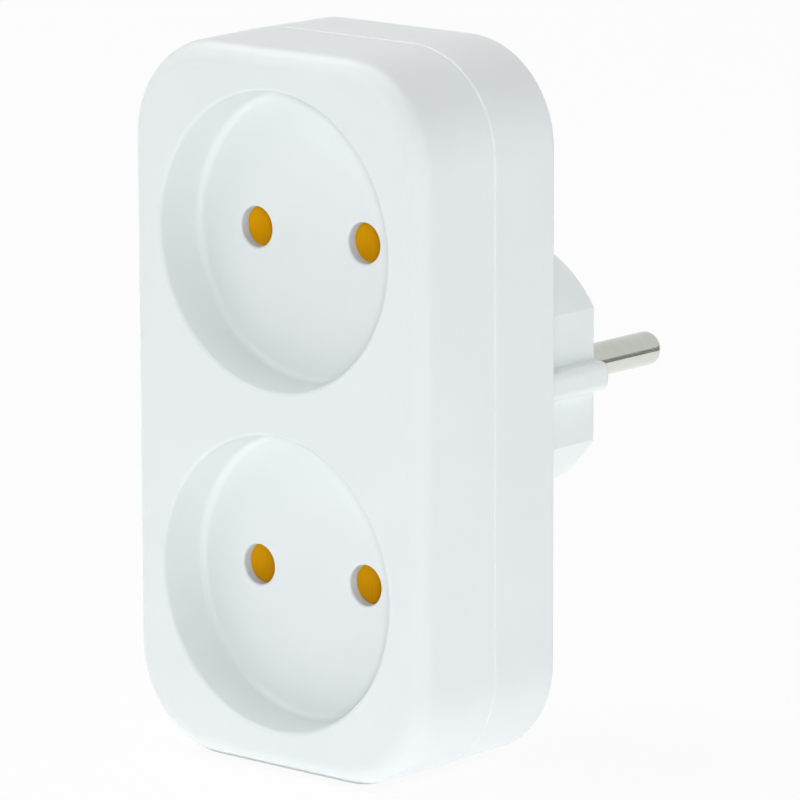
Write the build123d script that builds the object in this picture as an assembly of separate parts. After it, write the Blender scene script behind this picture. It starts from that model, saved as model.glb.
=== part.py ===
"""Twin socket adapter: two unearthed round sockets, one above the other, on a plug with two round pins.

Sizes are in millimetres and draft angles in degrees. +Y points along the pins into the wall, +Z is up
and the sockets face -Y. The origin is the middle of the plug nose's end face, halfway between the pins.
"""
import os
from math import radians, tan

from build123d import *

# Housing, measured at the seam between the two covers
HOUSING_WIDTH = 51.4
HOUSING_HEIGHT = 97.6
HOUSING_CORNER_RADIUS = 14.2
FRONT_COVER_DEPTH = 14.9
FRONT_DRAFT = 1.0
REAR_DRAFT = 0.5
FRONT_EDGE_RADIUS = 2.8
BACK_EDGE_RADIUS = 0.8
SEAM_CHAMFER = 0.25
WALL = 2.0

# Lip of the rear cover that centres the front cover
LIP_HEIGHT = 1.6
LIP_ROOT = 3.0
LIP_THICKNESS = 1.0
LIP_CLEARANCE = 0.1

# Socket wells
SOCKET_SPACING = 46.0
WELL_DIAMETER = 40.0
WELL_DEPTH = 7.4
WELL_DRAFT = 2.5
WELL_WALL = 1.6
WELL_FLOOR = 1.5
WELL_RIM_RADIUS = 0.5
WELL_FLOOR_RADIUS = 1.0
PIN_PITCH = 19.0
PIN_HOLE_DIAMETER = 5.5
PIN_HOLE_EDGE_RADIUS = 0.35
MATING_PIN_LENGTH = 19.0
MATING_PIN_TIP_CLEARANCE = 0.3
TIP_POCKET_DIAMETER = 6.2
TIP_POCKET_WALL = 0.8

# Plug nose
NOSE_DIAMETER = 35.4
NOSE_LENGTH = 21.0
NOSE_FLAT_DEPTH = 2.55
NOSE_EDGE_RADIUS = 0.7
NOSE_END_WALL = 2.5
GUIDE_RIB_WIDTH = 4.0
GUIDE_RIB_EDGE_RADIUS = 1.2
EARTH_NOTCH_WIDTH = 9.0
EARTH_NOTCH_DEPTH = 3.5
EARTH_NOTCH_RADIUS = 1.5
PIN_BRIDGE_HEIGHT = 9.6

# Plug pins, riveted into the contact bars
PIN_DIAMETER = 4.8
PIN_LENGTH = 19.0
PIN_TIP_RADIUS = 1.4
PIN_SHOULDER = 0.3
PIN_FIT = 0.05
COLLAR_DIAMETER = 7.2
COLLAR_THICKNESS = 1.0
RIVET_DIAMETER = 2.6
RIVET_HEAD_DIAMETER = 4.2
RIVET_HEAD_HEIGHT = 0.8
RIVET_HEAD_EDGE_RADIUS = 0.6

# Folded brass contact bars
STRIP_THICKNESS = 0.6
STRIP_BEND_RADIUS = 1.0
JAW_MOUTH_GAP = 9.4
JAW_WAIST_GAP = 3.8
JAW_WAIST_DEPTH = 4.3
JAW_WIDTH = 9.0
JAW_CLEARANCE = 0.4
SPINE_GAP = 5.9
SPINE_HEIGHT = 5.5
WEB_LENGTH = 26.0
WEB_RELIEF = 1.4
BLANK_CORNER_RADIUS = 0.6

# Ribs that place the contact bars
BAR_RIB_THICKNESS = 1.2
BAR_RIB_LENGTH = 3.5
BAR_RIB_HEIGHT = 5.6
BAR_RIB_DISTANCE = 17.75
BAR_RIB_CLEARANCE = 0.15
HOLD_DOWN_WIDTH = 2.4
HOLD_DOWN_LENGTH = 5.0
HOLD_DOWN_DISTANCE = 7.0
SEAT_GAP = 0.1

# Cover screws, from the back into bosses behind the wells
SCREW_DIAMETER = 2.9
SCREW_LENGTH = 10.0
SCREW_TIP_LENGTH = 1.5
SCREW_TIP_DIAMETER = 1.2
SCREW_HEAD_DIAMETER = 5.4
SCREW_HEAD_HEIGHT = 2.1
SCREW_HEAD_EDGE_RADIUS = 1.0
CROSS_RECESS_LENGTH = 3.0
CROSS_RECESS_WIDTH = 0.7
CROSS_RECESS_DEPTH = 1.2
SCREW_FIT = 0.05
SCREW_SHANK_CLEARANCE = 0.25
SCREW_HEAD_CLEARANCE = 0.5
SCREW_RECESS_DEPTH = 6.0
SCREW_SEAT_THICKNESS = 1.6
SCREW_POST_WALL = 1.4
BOSS_WALL = 1.7
PILOT_SPARE_DEPTH = 1.2

# How near two sizes must be for an edge to be the one that is looked for
SAME = 0.001

# The housing is as deep as a plug's pins need, from the sockets' side to the wall behind their tips
HOUSING_DEPTH = WELL_DEPTH + MATING_PIN_LENGTH + MATING_PIN_TIP_CLEARANCE + TIP_POCKET_WALL

# Depths along Y, from the nose's end face towards the sockets
Y_BACK = -NOSE_LENGTH
Y_FRONT = Y_BACK - HOUSING_DEPTH
Y_SEAM = Y_FRONT + FRONT_COVER_DEPTH
Y_INSIDE_BACK = Y_BACK - WALL
Y_INSIDE_FRONT = Y_FRONT + WALL
Y_WELL_FLOOR = Y_FRONT + WELL_DEPTH
Y_FLOOR_BACK = Y_WELL_FLOOR + WELL_FLOOR
Y_WEB_BACK = Y_INSIDE_BACK - COLLAR_THICKNESS
Y_WEB_FRONT = Y_WEB_BACK - STRIP_THICKNESS
Y_SPINE_FRONT = Y_WEB_BACK - SPINE_HEIGHT
Y_JAW_MOUTH = Y_FLOOR_BACK + JAW_CLEARANCE
Y_JAW_WAIST = Y_JAW_MOUTH + JAW_WAIST_DEPTH
Y_SCREW_SEAT = Y_BACK - SCREW_RECESS_DEPTH
Y_POST_FRONT = Y_SCREW_SEAT - SCREW_SEAT_THICKNESS
Y_BOSS_END = Y_POST_FRONT - SEAT_GAP

# Widths that follow from others
WELL_FLOOR_DIAMETER = WELL_DIAMETER - 2 * WELL_DEPTH * tan(radians(WELL_DRAFT))
NOSE_ACROSS_FLATS = NOSE_DIAMETER - 2 * NOSE_FLAT_DEPTH
PIN_ROOT_DIAMETER = PIN_DIAMETER + 2 * PIN_SHOULDER

# Places across the housing, as (x, z)
SIDES = (-PIN_PITCH / 2, PIN_PITCH / 2)
ENDS = (-1, 1)
WELL_CENTRES = [(0, end * SOCKET_SPACING / 2) for end in ENDS]
PIN_HOLES = [(x, z) for x in SIDES for _, z in WELL_CENTRES]
PIN_PLACES = [(x, 0) for x in SIDES]
SCREW_PLACES = WELL_CENTRES


def facing(y):
    """Sketch plane across the housing at depth y, seen from the sockets' side: sketch Y is up."""
    return Plane.XZ.offset(-y)


def carry(outline, y_front, y_back):
    """Solid of one outline, carried from depth y_front to y_back."""
    return extrude(facing(y_back) * outline, y_back - y_front)


def repeat(outline, places):
    """One sketch with the same outline at each (x, z) place."""
    return Sketch() + [Pos(x, z) * outline for x, z in places]


def housing_outline(inset):
    """Rounded outline of the housing at the seam, drawn smaller by inset all round."""
    width, height = HOUSING_WIDTH - 2 * inset, HOUSING_HEIGHT - 2 * inset
    return RectangleRounded(width, height, HOUSING_CORNER_RADIUS - inset)


def drafted_block(inset, y_end, draft):
    """Block that starts on the seam and narrows with the draft towards y_end."""
    towards = 1 if y_end > Y_SEAM else -1
    start = Plane((0, Y_SEAM, 0), x_dir=(1, 0, 0), z_dir=(0, towards, 0))
    return extrude(start * housing_outline(inset), abs(y_end - Y_SEAM), taper=draft)


def cover_shell(y_end, y_inside, draft, edge_radius):
    """Open half of the housing: drafted walls, an end wall with a rounded edge and a fine seam chamfer."""
    block = drafted_block(0, y_end, draft)
    seam_face = max(block.faces().filter_by(Axis.Y), key=lambda face: abs(face.center().Y - y_end))
    block = chamfer(seam_face.edges(), SEAM_CHAMFER)
    end_edges = [edge for edge in block.edges() if abs(edge.center().Y - y_end) < SAME]
    block = fillet(end_edges, edge_radius)
    return block - drafted_block(WALL, y_inside, draft)


def round_edges(body, y, diameter):
    """Circular edges of one diameter that lie at depth y."""
    circles = body.edges().filter_by(GeomType.CIRCLE)
    return [e for e in circles if abs(e.arc_center.Y - y) < SAME and abs(2 * e.radius - diameter) < SAME]


def socket_wells():
    """The hollows of both sockets, a little narrower at the floor than at the mouth."""
    on_floor = (Align.CENTER, Align.CENTER, Align.MIN)
    well = Cone(WELL_FLOOR_DIAMETER / 2, WELL_DIAMETER / 2, WELL_DEPTH, align=on_floor)
    return [facing(Y_WELL_FLOOR) * Pos(x, z) * well for x, z in WELL_CENTRES]


def front_cover():
    """Front moulding: shell, two socket cups with pin holes, screw bosses and hold-down ribs."""
    body = cover_shell(Y_FRONT, Y_INSIDE_FRONT, FRONT_DRAFT, FRONT_EDGE_RADIUS)
    cup = Circle(WELL_DIAMETER / 2 + WELL_WALL)
    body += carry(repeat(cup, WELL_CENTRES), Y_INSIDE_FRONT, Y_FLOOR_BACK)
    body -= socket_wells()
    body = fillet(round_edges(body, Y_FRONT, WELL_DIAMETER), WELL_RIM_RADIUS)
    body = fillet(round_edges(body, Y_WELL_FLOOR, WELL_FLOOR_DIAMETER), WELL_FLOOR_RADIUS)
    body -= carry(repeat(Circle(PIN_HOLE_DIAMETER / 2), PIN_HOLES), Y_WELL_FLOOR, Y_FLOOR_BACK)
    body = fillet(round_edges(body, Y_WELL_FLOOR, PIN_HOLE_DIAMETER), PIN_HOLE_EDGE_RADIUS)
    thread = SCREW_DIAMETER / 2 + SCREW_FIT
    pilot_end = Y_SCREW_SEAT - SCREW_LENGTH - PILOT_SPARE_DEPTH
    body += carry(repeat(Circle(thread + BOSS_WALL), SCREW_PLACES), Y_FLOOR_BACK, Y_BOSS_END)
    body -= carry(repeat(Circle(thread), SCREW_PLACES), pilot_end, Y_BOSS_END)
    hold_down = Rectangle(HOLD_DOWN_WIDTH, HOLD_DOWN_LENGTH)
    hold_down_places = [(x, end * HOLD_DOWN_DISTANCE) for x in SIDES for end in ENDS]
    return body + carry(repeat(hold_down, hold_down_places), Y_FLOOR_BACK, Y_WEB_FRONT - SEAT_GAP)


def lip():
    """Ring inside the seam: its root thickens the rear wall and its tongue stands into the front cover."""
    inner = housing_outline(WALL + LIP_CLEARANCE + LIP_THICKNESS)
    root = carry(housing_outline(WALL / 2) - inner, Y_SEAM, Y_SEAM + LIP_ROOT)
    tongue = carry(housing_outline(WALL + LIP_CLEARANCE) - inner, Y_SEAM - LIP_HEIGHT, Y_SEAM)
    return root + tongue


def earth_notches(margin):
    """Slots at the top and bottom of the nose that pass a socket's earth clips, widened by margin."""
    slot = RectangleRounded(
        EARTH_NOTCH_WIDTH + 2 * margin, 2 * (EARTH_NOTCH_DEPTH + margin), EARTH_NOTCH_RADIUS + margin)
    return repeat(slot, [(0, end * NOSE_DIAMETER / 2) for end in ENDS])


def plug_nose():
    """Round nose with a flat on each side, a soft-edged guide rib along each flat and a rounded end."""
    disc = Circle(NOSE_DIAMETER / 2)
    flats = disc & Rectangle(NOSE_ACROSS_FLATS, NOSE_DIAMETER)
    ribs = RectangleRounded(NOSE_DIAMETER, GUIDE_RIB_WIDTH, GUIDE_RIB_EDGE_RADIUS)
    nose = carry(flats + ribs - earth_notches(0), Y_BACK, 0)
    return fillet(nose.faces().sort_by(Axis.Y)[-1].edges(), NOSE_EDGE_RADIUS)


def nose_cores():
    """Two hollows in the nose, above and below the bridge that carries the pins."""
    hollow = Circle(NOSE_DIAMETER / 2 - WALL) & Rectangle(NOSE_ACROSS_FLATS - 2 * WALL, NOSE_DIAMETER)
    bridge = Rectangle(NOSE_DIAMETER, PIN_BRIDGE_HEIGHT)
    return carry(hollow - bridge - earth_notches(WALL), Y_INSIDE_BACK, -NOSE_END_WALL)


def bar_ribs():
    """Short ribs on the rear wall, in pairs that stand on both sides of each contact bar."""
    offset_x = SPINE_GAP / 2 + STRIP_THICKNESS + BAR_RIB_CLEARANCE + BAR_RIB_THICKNESS / 2
    columns = [x + side * offset_x for x in SIDES for side in (-1, 1)]
    places = [(x, end * BAR_RIB_DISTANCE) for x in columns for end in ENDS]
    rib = Rectangle(BAR_RIB_THICKNESS, BAR_RIB_LENGTH)
    return carry(repeat(rib, places), Y_INSIDE_BACK - BAR_RIB_HEIGHT, Y_INSIDE_BACK)


def rear_cover():
    """Rear moulding: shell, lip, plug nose, screw posts and the ribs that place the contact bars."""
    body = cover_shell(Y_BACK, Y_INSIDE_BACK, REAR_DRAFT, BACK_EDGE_RADIUS)
    body = body + lip() + plug_nose() + bar_ribs()
    body -= nose_cores()
    recess = SCREW_HEAD_DIAMETER / 2 + SCREW_HEAD_CLEARANCE
    shank_hole = SCREW_DIAMETER / 2 + SCREW_SHANK_CLEARANCE
    body += carry(repeat(Circle(recess + SCREW_POST_WALL), SCREW_PLACES), Y_POST_FRONT, Y_INSIDE_BACK)
    body -= carry(repeat(Circle(recess), SCREW_PLACES), Y_SCREW_SEAT, Y_BACK)
    body -= carry(repeat(Circle(shank_hole), SCREW_PLACES), Y_POST_FRONT, Y_SCREW_SEAT)
    body -= carry(repeat(Circle(PIN_ROOT_DIAMETER / 2 + PIN_FIT), PIN_PLACES), Y_INSIDE_BACK, 0)
    tip_pockets = repeat(Circle(TIP_POCKET_DIAMETER / 2), PIN_HOLES)
    return body - carry(tip_pockets, Y_INSIDE_BACK, Y_BACK - TIP_POCKET_WALL)


def folded_section():
    """The strip's folded shape, seen along Z: a web, and two leaves with a waist and a flared mouth."""
    mouth = (JAW_MOUTH_GAP + STRIP_THICKNESS) / 2
    waist = (JAW_WAIST_GAP + STRIP_THICKNESS) / 2
    spine = (SPINE_GAP + STRIP_THICKNESS) / 2
    web = (Y_WEB_BACK + Y_WEB_FRONT) / 2
    leaf = [(mouth, Y_JAW_MOUTH), (waist, Y_JAW_WAIST), (spine, Y_SPINE_FRONT), (spine, web)]
    other_leaf = [(-x, y) for x, y in reversed(leaf)]
    return trace(FilletPolyline(*leaf, *other_leaf, radius=STRIP_BEND_RADIUS), STRIP_THICKNESS)


def blank_outline():
    """Side view of the strip, as (y, z): jaws at both ends, and a web only between the sockets' pins."""
    jaw_end = (SOCKET_SPACING + JAW_WIDTH) / 2
    jaw_start = (SOCKET_SPACING - JAW_WIDTH) / 2
    relief = Y_WEB_BACK - WEB_RELIEF
    upper = [
        (Y_WEB_BACK, WEB_LENGTH / 2),
        (relief, WEB_LENGTH / 2),
        (relief, jaw_end),
        (Y_JAW_MOUTH, jaw_end),
        (Y_JAW_MOUTH, jaw_start),
        (Y_SPINE_FRONT, jaw_start),
    ]
    lower = [(y, -z) for y, z in reversed(upper)]
    outline = make_face(Polyline(*upper, *lower, close=True))
    return fillet(outline.vertices(), BLANK_CORNER_RADIUS)


def contact_bar(x):
    """One pole's brass strip: folded, with a pair of jaws behind each socket and a rivet hole between."""
    length = SOCKET_SPACING + JAW_WIDTH
    width = max(JAW_MOUTH_GAP, SPINE_GAP) + 2 * STRIP_THICKNESS
    strip = extrude(folded_section(), length / 2, both=True)
    strip &= extrude(Plane.YZ * blank_outline(), width / 2, both=True)
    strip -= carry(Circle(RIVET_DIAMETER / 2 + PIN_FIT), Y_WEB_FRONT, Y_WEB_BACK)
    return Pos(x, 0, 0) * strip


def turned(profile, rounded):
    """Solid of revolution about Y from (radius, y) corners, with some corners rounded."""
    face = make_face(Polyline(*profile, close=True))
    for corner, radius in rounded:
        nearest = face.vertices().sort_by_distance((*corner, 0))[0]
        face = fillet(nearest, radius)
    return revolve(face, Axis.Y)


def plug_pin(x):
    """Turned pin: round tip, thicker root through the nose, a collar and a rivet end closed over the bar."""
    pin, root, collar = PIN_DIAMETER / 2, PIN_ROOT_DIAMETER / 2, COLLAR_DIAMETER / 2
    rivet, head = RIVET_DIAMETER / 2, RIVET_HEAD_DIAMETER / 2
    head_end = Y_WEB_FRONT - RIVET_HEAD_HEIGHT
    profile = [
        (0, PIN_LENGTH), (pin, PIN_LENGTH), (pin, 0), (root, 0), (root, Y_INSIDE_BACK),
        (collar, Y_INSIDE_BACK), (collar, Y_WEB_BACK), (rivet, Y_WEB_BACK), (rivet, Y_WEB_FRONT),
        (head, Y_WEB_FRONT), (head, head_end), (0, head_end),
    ]
    rounded = [((pin, PIN_LENGTH), PIN_TIP_RADIUS), ((head, head_end), RIVET_HEAD_EDGE_RADIUS)]
    return Pos(x, 0, 0) * turned(profile, rounded)


def cover_screw(x, z):
    """Self-tapping screw with a domed head and a cross recess."""
    shank, tip, head = SCREW_DIAMETER / 2, SCREW_TIP_DIAMETER / 2, SCREW_HEAD_DIAMETER / 2
    head_end = Y_SCREW_SEAT + SCREW_HEAD_HEIGHT
    end = Y_SCREW_SEAT - SCREW_LENGTH
    profile = [
        (0, head_end), (head, head_end), (head, Y_SCREW_SEAT), (shank, Y_SCREW_SEAT),
        (shank, end + SCREW_TIP_LENGTH), (tip, end), (0, end),
    ]
    screw = turned(profile, [((head, head_end), SCREW_HEAD_EDGE_RADIUS)])
    slot = Rectangle(CROSS_RECESS_LENGTH, CROSS_RECESS_WIDTH)
    cross = slot + Rot(0, 0, 90) * slot
    return Pos(x, 0, z) * (screw - carry(cross, head_end - CROSS_RECESS_DEPTH, head_end))


def pieces():
    """Every piece by name. Equal screws share one name."""
    left, right = SIDES
    return {
        "front_cover": front_cover(),
        "rear_cover": rear_cover(),
        "left_contact_bar": contact_bar(left),
        "right_contact_bar": contact_bar(right),
        "left_plug_pin": plug_pin(left),
        "right_plug_pin": plug_pin(right),
        "cover_screws": Compound(children=[cover_screw(x, z) for x, z in SCREW_PLACES]),
    }


os.makedirs("parts", exist_ok=True)
for name, piece in pieces().items():
    export_step(piece, f"parts/{name}.step")
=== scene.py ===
from math import cos, radians, sin, tau

import bmesh
import bpy
from mathutils import Matrix, Quaternion, Vector


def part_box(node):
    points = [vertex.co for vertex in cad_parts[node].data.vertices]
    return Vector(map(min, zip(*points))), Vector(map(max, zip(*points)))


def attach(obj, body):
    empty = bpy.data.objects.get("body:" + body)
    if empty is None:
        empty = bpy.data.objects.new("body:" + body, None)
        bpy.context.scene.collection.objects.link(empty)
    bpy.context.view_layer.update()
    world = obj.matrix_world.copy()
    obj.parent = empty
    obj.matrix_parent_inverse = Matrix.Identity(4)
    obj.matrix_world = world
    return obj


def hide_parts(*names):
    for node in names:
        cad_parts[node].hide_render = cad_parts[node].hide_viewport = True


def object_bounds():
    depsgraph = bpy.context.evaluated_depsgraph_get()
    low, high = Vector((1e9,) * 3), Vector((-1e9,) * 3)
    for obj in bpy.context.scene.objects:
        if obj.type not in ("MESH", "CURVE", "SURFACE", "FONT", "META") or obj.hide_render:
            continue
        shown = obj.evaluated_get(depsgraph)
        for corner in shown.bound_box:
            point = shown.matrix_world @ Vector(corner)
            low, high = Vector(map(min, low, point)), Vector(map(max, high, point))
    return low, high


# Twin socket adapter: white moulded covers, brass contacts behind the pin holes, nickel-plated pins.
# Lengths named here are millimetres, turned to metres by MM. +Y points into the wall and +Z is up.
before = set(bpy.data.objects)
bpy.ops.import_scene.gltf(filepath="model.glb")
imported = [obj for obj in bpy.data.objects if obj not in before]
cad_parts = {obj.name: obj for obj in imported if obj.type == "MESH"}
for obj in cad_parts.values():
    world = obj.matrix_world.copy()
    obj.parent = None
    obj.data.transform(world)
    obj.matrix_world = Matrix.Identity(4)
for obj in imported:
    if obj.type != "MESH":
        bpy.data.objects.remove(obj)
cad_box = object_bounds()
MM = 0.001

# Camera at the photograph's viewing angle, with the long lens of a product picture
CAMERA_AZIMUTH = 41.12
CAMERA_ELEVATION = 11.80
CAMERA_ROLL = -0.18
CAMERA_AIM = (5.83, -29.72, -0.22)
CAMERA_DISTANCE = 844.3
CAMERA_LENS = 285.2

# Cover screws, self-tapping, with a domed head and a cross recess
SCREW_HEAD_HEIGHT = 2.1
SCREW_HEAD_ROUNDING = 1.0
HEAD_ROUNDING_STEPS = 8
SCREW_CORE_DIAMETER = 2.1
SCREW_POINT_DIAMETER = 0.9
SCREW_POINT_LENGTH = 1.6
SCREW_PLAIN_NECK = 0.8
THREAD_DIAMETER = 2.9
THREAD_PITCH = 1.1
THREAD_RIDGE_WIDTH = 0.55
THREAD_ROOTING = 0.1
CROSS_LENGTH = 3.0
CROSS_WIDTH = 0.7
CROSS_DEPTH = 1.3
CROSS_FLOOR_SHARE = 0.45
SPIN_STEPS = 40
CREASE_ANGLE = 35
# Points of a screw that lie closer together than this are one
MERGE_DISTANCE = 0.001
# A face belongs to the head's flat top where its normal points along the screw by more than this share
FLAT_TOP_FACING = 0.999

# Sizes of the surface patterns
PIGMENT_CLOUD = 17.0
MOULD_GRAIN = 0.45
MOULD_GRAIN_HEIGHT = 0.004
ROLLING_STREAK_WIDTH = 0.25
ROLLING_STREAK_LENGTH = 6.0
ROLLING_STREAK_HEIGHT = 0.003
TURNING_RING = 0.45
TURNING_RING_HEIGHT = 0.002
PLATING_CLOUD = 1.6
ZINC_MOTTLE = 0.5

# Studio floor: its reach, the share of it that stays white in a shadow, and the glow just above it
FLOOR_REACH = 6000
FLOOR_WHITE_SHARE = 0.93
TABLE_GLOW_HEIGHT = 1.0

# Grey card that the pins mirror
FLAG_AZIMUTH = 42.5
FLAG_DISTANCE = 240
FLAG_WIDTH = 300
FLAG_HEIGHT = 67


def linear(hex_colour):
    """Linear RGBA of an sRGB hex colour."""
    channels = [int(hex_colour[i:i + 2], 16) / 255 for i in (1, 3, 5)]
    return [c / 12.92 if c <= 0.04045 else ((c + 0.055) / 1.055) ** 2.4 for c in channels] + [1.0]


def add(tree, kind, inputs=None, **settings):
    """New node with its settings; each input takes a value, or a link where it is given a socket."""
    node = tree.nodes.new("ShaderNode" + kind)
    for name, value in settings.items():
        setattr(node, name, value)
    for name, value in (inputs or {}).items():
        if isinstance(value, bpy.types.NodeSocket):
            tree.links.new(value, node.inputs[name])
        else:
            node.inputs[name].default_value = value
    return node


def empty_material(name):
    """Material with no nodes yet, and its node tree."""
    material = bpy.data.materials.new(name)
    material.use_nodes = True
    material.node_tree.nodes.clear()
    return material, material.node_tree


def cells(size):
    """Texture scale at which one cell of a pattern is size millimetres wide."""
    return 1 / (size * MM)


def moulded_abs():
    """White ABS from a spark-eroded mould: a wide satin sheen, a fine grain, faint clouds of pigment."""
    material, tree = empty_material("moulded_white_abs")
    place = add(tree, "TexCoord").outputs["Object"]
    cloud = add(tree, "TexNoise", {"Vector": place, "Scale": cells(PIGMENT_CLOUD), "Detail": 3.0})
    colour = add(tree, "MixRGB", {
        "Fac": cloud.outputs["Fac"], "Color1": linear("#E4E9EA"), "Color2": linear("#EAEFEF")})
    # The real grain is about 0.05 mm wide; it is drawn coarser so that it shows
    grain = add(tree, "TexNoise", {"Vector": place, "Scale": cells(MOULD_GRAIN), "Detail": 2.0})
    roughness = add(tree, "MapRange", {"Value": grain.outputs["Fac"], "To Min": 0.38, "To Max": 0.50})
    relief = add(tree, "Bump", {
        "Height": grain.outputs["Fac"], "Strength": 0.5, "Distance": MOULD_GRAIN_HEIGHT * MM})
    shader = add(tree, "BsdfPrincipled", {
        "Base Color": colour.outputs["Color"],
        "Roughness": roughness.outputs["Result"],
        "IOR": 1.53,
        "Normal": relief.outputs["Normal"],
    })
    add(tree, "OutputMaterial", {"Surface": shader.outputs["BSDF"]})
    return material


def stamped_brass():
    """Rolled brass strip, stamped and folded: warm yellow metal with soft streaks along the strip."""
    material, tree = empty_material("stamped_brass_strip")
    place = add(tree, "TexCoord").outputs["Object"]
    # Rolling marks are about 0.05 mm wide; they are drawn coarser so that they show
    across, along = cells(ROLLING_STREAK_WIDTH), cells(ROLLING_STREAK_LENGTH)
    stretched = add(tree, "Mapping", {"Vector": place, "Scale": (across, across, along)})
    streak = add(tree, "TexNoise", {"Vector": stretched.outputs["Vector"], "Scale": 1.0, "Detail": 4.0})
    colour = add(tree, "MixRGB", {
        "Fac": streak.outputs["Fac"], "Color1": linear("#F4BA0E"), "Color2": linear("#FFCC1A")})
    roughness = add(tree, "MapRange", {"Value": streak.outputs["Fac"], "To Min": 0.60, "To Max": 0.75})
    relief = add(tree, "Bump", {
        "Height": streak.outputs["Fac"], "Strength": 0.4, "Distance": ROLLING_STREAK_HEIGHT * MM})
    shader = add(tree, "BsdfPrincipled", {
        "Base Color": colour.outputs["Color"],
        "Metallic": 1.0,
        "Roughness": roughness.outputs["Result"],
        "Normal": relief.outputs["Normal"],
    })
    add(tree, "OutputMaterial", {"Surface": shader.outputs["BSDF"]})
    return material


def plated_pin():
    """Turned brass with nickel plate: a pale warm-grey mirror, broken by turning rings and faint clouds."""
    material, tree = empty_material("nickel_plated_pin")
    place = add(tree, "TexCoord").outputs["Object"]
    cloud = add(tree, "TexNoise", {"Vector": place, "Scale": cells(PLATING_CLOUD), "Detail": 4.0})
    colour = add(tree, "MixRGB", {
        "Fac": cloud.outputs["Fac"], "Color1": linear("#B6B8B2"), "Color2": linear("#C2C4BE")})
    roughness = add(tree, "MapRange", {"Value": cloud.outputs["Fac"], "To Min": 0.12, "To Max": 0.22})
    # Turning marks are about 0.1 mm apart; they are drawn coarser so that they show
    stretched = add(tree, "Mapping", {"Vector": place, "Scale": (0, cells(TURNING_RING), 0)})
    rings = add(tree, "TexNoise", {"Vector": stretched.outputs["Vector"], "Scale": 1.0, "Detail": 2.0})
    relief = add(tree, "Bump", {
        "Height": rings.outputs["Fac"], "Strength": 0.3, "Distance": TURNING_RING_HEIGHT * MM})
    shader = add(tree, "BsdfPrincipled", {
        "Base Color": colour.outputs["Color"],
        "Metallic": 1.0,
        "Roughness": roughness.outputs["Result"],
        "Normal": relief.outputs["Normal"],
    })
    add(tree, "OutputMaterial", {"Surface": shader.outputs["BSDF"]})
    return material


def zinc_plate():
    """Zinc-plated steel: cool grey metal with a small mottle of lighter, duller spots."""
    material, tree = empty_material("zinc_plated_steel")
    place = add(tree, "TexCoord").outputs["Object"]
    mottle = add(tree, "TexVoronoi", {"Vector": place, "Scale": cells(ZINC_MOTTLE)})
    colour = add(tree, "MixRGB", {
        "Fac": mottle.outputs["Distance"], "Color1": linear("#B4BAC0"), "Color2": linear("#CDD2D4")})
    roughness = add(tree, "MapRange", {
        "Value": mottle.outputs["Distance"], "To Min": 0.28, "To Max": 0.42})
    shader = add(tree, "BsdfPrincipled", {
        "Base Color": colour.outputs["Color"],
        "Metallic": 1.0,
        "Roughness": roughness.outputs["Result"],
    })
    add(tree, "OutputMaterial", {"Surface": shader.outputs["BSDF"]})
    return material


def mesh_object(name, bm, material):
    """Object at the origin from a finished bmesh."""
    mesh = bpy.data.meshes.new(name)
    bm.to_mesh(mesh)
    bm.free()
    mesh.materials.append(material)
    made = bpy.data.objects.new(name, mesh)
    bpy.context.scene.collection.objects.link(made)
    return made


def wire(bm, points):
    """Chain of edges through (radius, y) points in millimetres."""
    verts = [bm.verts.new((radius * MM, y * MM, 0)) for radius, y in points]
    for start, end in zip(verts, verts[1:]):
        bm.edges.new((start, end))
    return verts


def screw_body(bm, head_radius, length):
    """Domed head, core and point, turned about Y with the head's seat at y = 0."""
    core, point = SCREW_CORE_DIAMETER / 2, SCREW_POINT_DIAMETER / 2
    profile = wire(bm, [
        (0, SCREW_HEAD_HEIGHT), (head_radius, SCREW_HEAD_HEIGHT), (head_radius, 0), (core, 0),
        (core, SCREW_POINT_LENGTH - length), (point, -length), (0, -length),
    ])
    bmesh.ops.bevel(
        bm, geom=[profile[1]], affect="VERTICES", offset=SCREW_HEAD_ROUNDING * MM,
        segments=HEAD_ROUNDING_STEPS, profile=0.5, material=-1)
    bmesh.ops.spin(
        bm, geom=bm.verts[:] + bm.edges[:], cent=(0, 0, 0), axis=(0, 1, 0),
        angle=tau, steps=SPIN_STEPS, use_merge=True)
    bmesh.ops.remove_doubles(bm, verts=bm.verts[:], dist=MERGE_DISTANCE * MM)
    # Without the points on the axis, the head's top and the point's end are one face each
    on_axis = [vert for vert in bm.verts if vert.co.xz.length < MERGE_DISTANCE * MM]
    bmesh.ops.dissolve_verts(bm, verts=on_axis)
    bmesh.ops.recalc_face_normals(bm, faces=bm.faces[:])


def cross_recess(bm):
    """Cross for a screwdriver, sunk into the head's flat top and narrower at its floor."""
    arm, width = CROSS_LENGTH / 2 * MM, CROSS_WIDTH / 2 * MM

    def flat_top():
        return [face for face in bm.faces if face.normal.y > FLAT_TOP_FACING]

    def in_cross(face):
        middle = face.calc_center_median()
        aside, along = sorted((abs(middle.x), abs(middle.z)))
        return aside < width and along < arm

    for normal in (Vector((1, 0, 0)), Vector((0, 0, 1))):
        for distance in (-arm, -width, width, arm):
            top = flat_top()
            edges = {edge for face in top for edge in face.edges}
            verts = {vert for face in top for vert in face.verts}
            bmesh.ops.bisect_plane(
                bm, geom=[*verts, *edges, *top], plane_co=normal * distance, plane_no=normal)
    cross = [face for face in flat_top() if in_cross(face)]
    rims = {edge for face in cross for edge in face.edges}
    sunk = bmesh.ops.extrude_face_region(bm, geom=[*cross, *rims])
    floor = [item for item in sunk["geom"] if isinstance(item, bmesh.types.BMVert)]
    bmesh.ops.scale(bm, verts=floor, vec=(CROSS_FLOOR_SHARE, 0, CROSS_FLOOR_SHARE))
    bmesh.ops.translate(bm, verts=floor, vec=(0, (SCREW_HEAD_HEIGHT - CROSS_DEPTH) * MM, 0))


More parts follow.
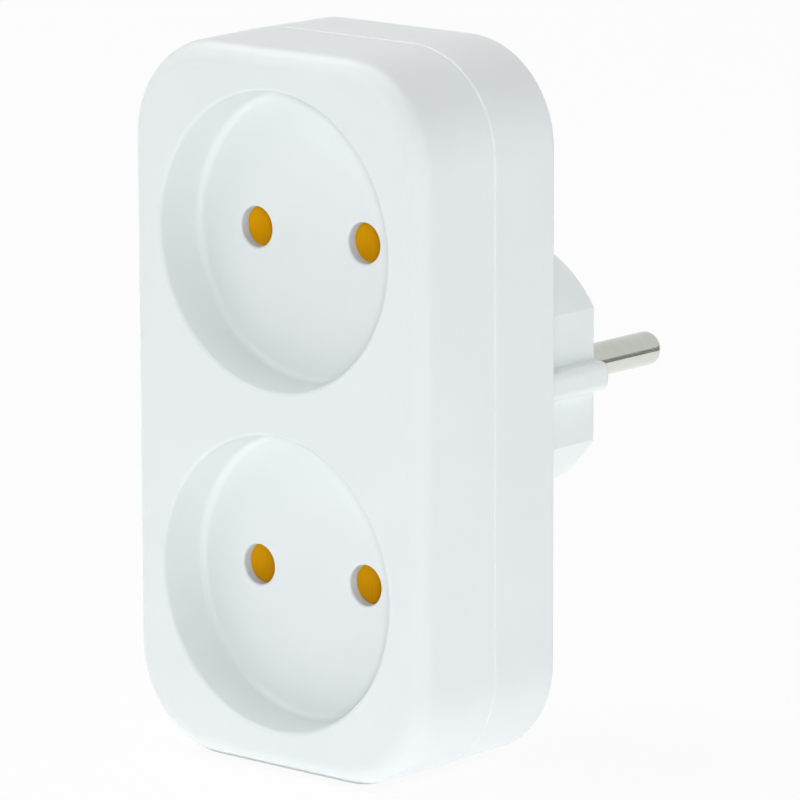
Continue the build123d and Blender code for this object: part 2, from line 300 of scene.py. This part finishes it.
def screw_thread(bm, length):
    """One sharp ridge that winds down the core."""
    half = THREAD_RIDGE_WIDTH / 2
    foot = SCREW_CORE_DIAMETER / 2 - THREAD_ROOTING
    start = -SCREW_PLAIN_NECK - half
    turns = int((length - SCREW_POINT_LENGTH - SCREW_PLAIN_NECK) / THREAD_PITCH)
    section = wire(bm, [(foot, start + half), (THREAD_DIAMETER / 2, start), (foot, start - half)])
    ridge = bm.faces.new(section)
    bmesh.ops.spin(
        bm, geom=[ridge], cent=(0, 0, 0), axis=(0, 1, 0), dvec=(0, -THREAD_PITCH * MM / SPIN_STEPS, 0),
        angle=tau * turns, steps=SPIN_STEPS * turns)
    bmesh.ops.recalc_face_normals(bm, faces=bm.faces[:])


def cover_screws(material):
    """Both cover screws, where the frame has them."""
    low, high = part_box("cover_screws")
    head_radius = high.x / MM
    seat = high.y - SCREW_HEAD_HEIGHT * MM
    length = (seat - low.y) / MM
    middle = high.z - high.x
    bm = bmesh.new()
    screw_body(bm, head_radius, length)
    cross_recess(bm)
    screw_thread(bm, length)
    bmesh.ops.translate(bm, verts=bm.verts[:], vec=(0, seat, -middle))
    twin = bmesh.ops.duplicate(bm, geom=bm.verts[:] + bm.edges[:] + bm.faces[:])["geom"]
    upper = [item for item in twin if isinstance(item, bmesh.types.BMVert)]
    bmesh.ops.translate(bm, verts=upper, vec=(0, 0, 2 * middle))
    screws = mesh_object("cross_head_screws", bm, material)
    screws.data.shade_smooth()
    screws.data.set_sharp_from_angle(angle=radians(CREASE_ANGLE))
    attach(screws, "root")
    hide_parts("cover_screws")


def finish_frame_pieces():
    """The covers, bars and pins keep their own shape and take the real finishes."""
    finishes = {"cover": moulded_abs(), "contact_bar": stamped_brass(), "plug_pin": plated_pin()}
    for name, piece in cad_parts.items():
        for kind, material in finishes.items():
            if name.endswith(kind):
                piece.material_slots[0].material = material


def seen_directly(tree):
    """1 for rays that show a surface in the picture, mirrored or through glass, 0 for those that light."""
    rays = add(tree, "LightPath").outputs
    mirrored = add(tree, "Math", {
        0: rays["Is Camera Ray"], 1: rays["Is Glossy Ray"]}, operation="MAXIMUM")
    shown = add(tree, "Math", {
        0: mirrored.outputs["Value"], 1: rays["Is Transmission Ray"]}, operation="MAXIMUM")
    return shown.outputs["Value"]


def floor_paper():
    """White background paper, matt, bright enough to run out to white and still hold a shadow."""
    material, tree = empty_material("white_background_paper")
    share = add(tree, "Math", {0: seen_directly(tree), 1: FLOOR_WHITE_SHARE}, operation="MULTIPLY")
    paper = add(tree, "BsdfDiffuse", {"Color": linear("#F4F5F5")})
    white = add(tree, "Emission", {"Color": linear("#FFFFFF"), "Strength": 1.0})
    mixed = add(tree, "MixShader", {
        "Fac": share.outputs["Value"], 1: paper.outputs["BSDF"], 2: white.outputs["Emission"]})
    add(tree, "OutputMaterial", {"Surface": mixed.outputs["Shader"]})
    return material


def studio_floor():
    """Wide pale floor under the part."""
    bm = bmesh.new()
    bmesh.ops.create_grid(bm, x_segments=1, y_segments=1, size=FLOOR_REACH * MM)
    bmesh.ops.translate(bm, verts=bm.verts[:], vec=(0, 0, cad_box[0].z))
    mesh_object("studio_floor", bm, floor_paper())


def studio_world():
    """White surroundings that show in the picture and in mirrors; the lamps give the light."""
    world = bpy.data.worlds.new("white_studio")
    world.use_nodes = True
    tree = world.node_tree
    tree.nodes.clear()
    white = add(tree, "Background", {"Color": linear("#FFFFFF"), "Strength": seen_directly(tree)})
    add(tree, "OutputWorld", {"Surface": white.outputs["Background"]})
    bpy.context.scene.world = world


def grey_card():
    """Matt grey card."""
    material, tree = empty_material("grey_flag_card")
    card = add(tree, "BsdfDiffuse", {"Color": linear("#A6A7A5")})
    add(tree, "OutputMaterial", {"Surface": card.outputs["BSDF"]})
    return material


def grey_flag():
    """Grey card behind on the right, seen only in mirrors: it draws the dark line along a shiny pin."""
    upright = Matrix.Rotation(radians(90), 3, "X")
    to_the_right = Matrix.Rotation(radians(-FLAG_AZIMUTH), 3, "Z")
    place = to_the_right @ Vector((0, FLAG_DISTANCE * MM, 0))
    place.z = cad_box[0].z + FLAG_HEIGHT / 2 * MM
    bm = bmesh.new()
    # One metre square, then scaled to the card
    bmesh.ops.create_grid(bm, x_segments=1, y_segments=1, size=0.5)
    bmesh.ops.scale(bm, verts=bm.verts[:], vec=(FLAG_WIDTH * MM, FLAG_HEIGHT * MM, 1))
    bmesh.ops.rotate(bm, verts=bm.verts[:], matrix=to_the_right @ upright)
    bmesh.ops.translate(bm, verts=bm.verts[:], vec=place)
    flag = mesh_object("grey_flag", bm, grey_card())
    flag.visible_camera = False
    flag.visible_diffuse = False
    flag.visible_shadow = False


def softbox(name, place, width, watts, in_sheen=True, only_on=()):
    """Soft square lamp, turned towards the part, with or without its glare.

    Its place is in millimetres. It lights everything, or only the pieces that it is given.
    """
    lamp = bpy.data.lights.new(name, "AREA")
    lamp.size = width * MM
    lamp.energy = watts
    holder = bpy.data.objects.new(name, lamp)
    holder.visible_glossy = in_sheen
    holder.location = Vector(place) * MM
    towards_part = Vector(CAMERA_AIM) * MM - holder.location
    holder.rotation_euler = towards_part.to_track_quat("-Z", "Y").to_euler()
    bpy.context.scene.collection.objects.link(holder)
    if only_on:
        lit = bpy.data.collections.new(name)
        for piece in only_on:
            lit.objects.link(piece)
        holder.light_linking.receiver_collection = lit


def low_softbox(name, place, width, watts):
    """Soft lamp low over the table, whose glare shows only in the contact bars and the plug pins.

    On the plastic, its glare would burn out the housing's top when that is seen from the far side.
    """
    metal = [piece for node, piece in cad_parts.items() if node.endswith(("contact_bar", "plug_pin"))]
    softbox(name, place, width, watts, in_sheen=False)
    softbox(name + "_in_metal", place, width, watts, only_on=metal)


def studio_lamps():
    """Soft light from the camera, from all sides and above, and a glowing table under the part."""
    table_height = cad_box[0].z / MM + TABLE_GLOW_HEIGHT
    low_softbox("camera_softbox", place=(1010, -1160, 330), width=180, watts=8.6)
    low_softbox("right_softbox", place=(1300, 500, 250), width=900, watts=5.2)
    softbox("left_softbox", place=(-800, -1200, 800), width=900, watts=5.2)
    softbox("top_softbox", place=(0, -100, 1500), width=900, watts=6.9)
    softbox("top_left_softbox", place=(-900, -100, 1200), width=700, watts=7.4)
    softbox("rear_softbox", place=(-500, 1500, 350), width=900, watts=5.2, in_sheen=False)
    softbox("table_glow", place=(CAMERA_AIM[0], CAMERA_AIM[1], table_height), width=1200, watts=1.7)


def product_camera():
    """Camera of the photograph."""
    azimuth, elevation = radians(CAMERA_AZIMUTH), radians(CAMERA_ELEVATION)
    back = Vector((sin(azimuth) * cos(elevation), -cos(azimuth) * cos(elevation), sin(elevation)))
    camera = bpy.data.objects.new("product_camera", bpy.data.cameras.new("product_camera"))
    camera.data.lens = CAMERA_LENS
    camera.location = (Vector(CAMERA_AIM) + back * CAMERA_DISTANCE) * MM
    upright = (-back).to_track_quat("-Z", "Y")
    roll = Quaternion((0, 0, 1), radians(CAMERA_ROLL))
    camera.rotation_euler = (upright @ roll).to_euler()
    bpy.context.scene.collection.objects.link(camera)
    bpy.context.scene.camera = camera


finish_frame_pieces()
cover_screws(zinc_plate())
studio_floor()
studio_world()
studio_lamps()
grey_flag()
product_camera()
bpy.context.scene.view_settings.view_transform = "Standard"
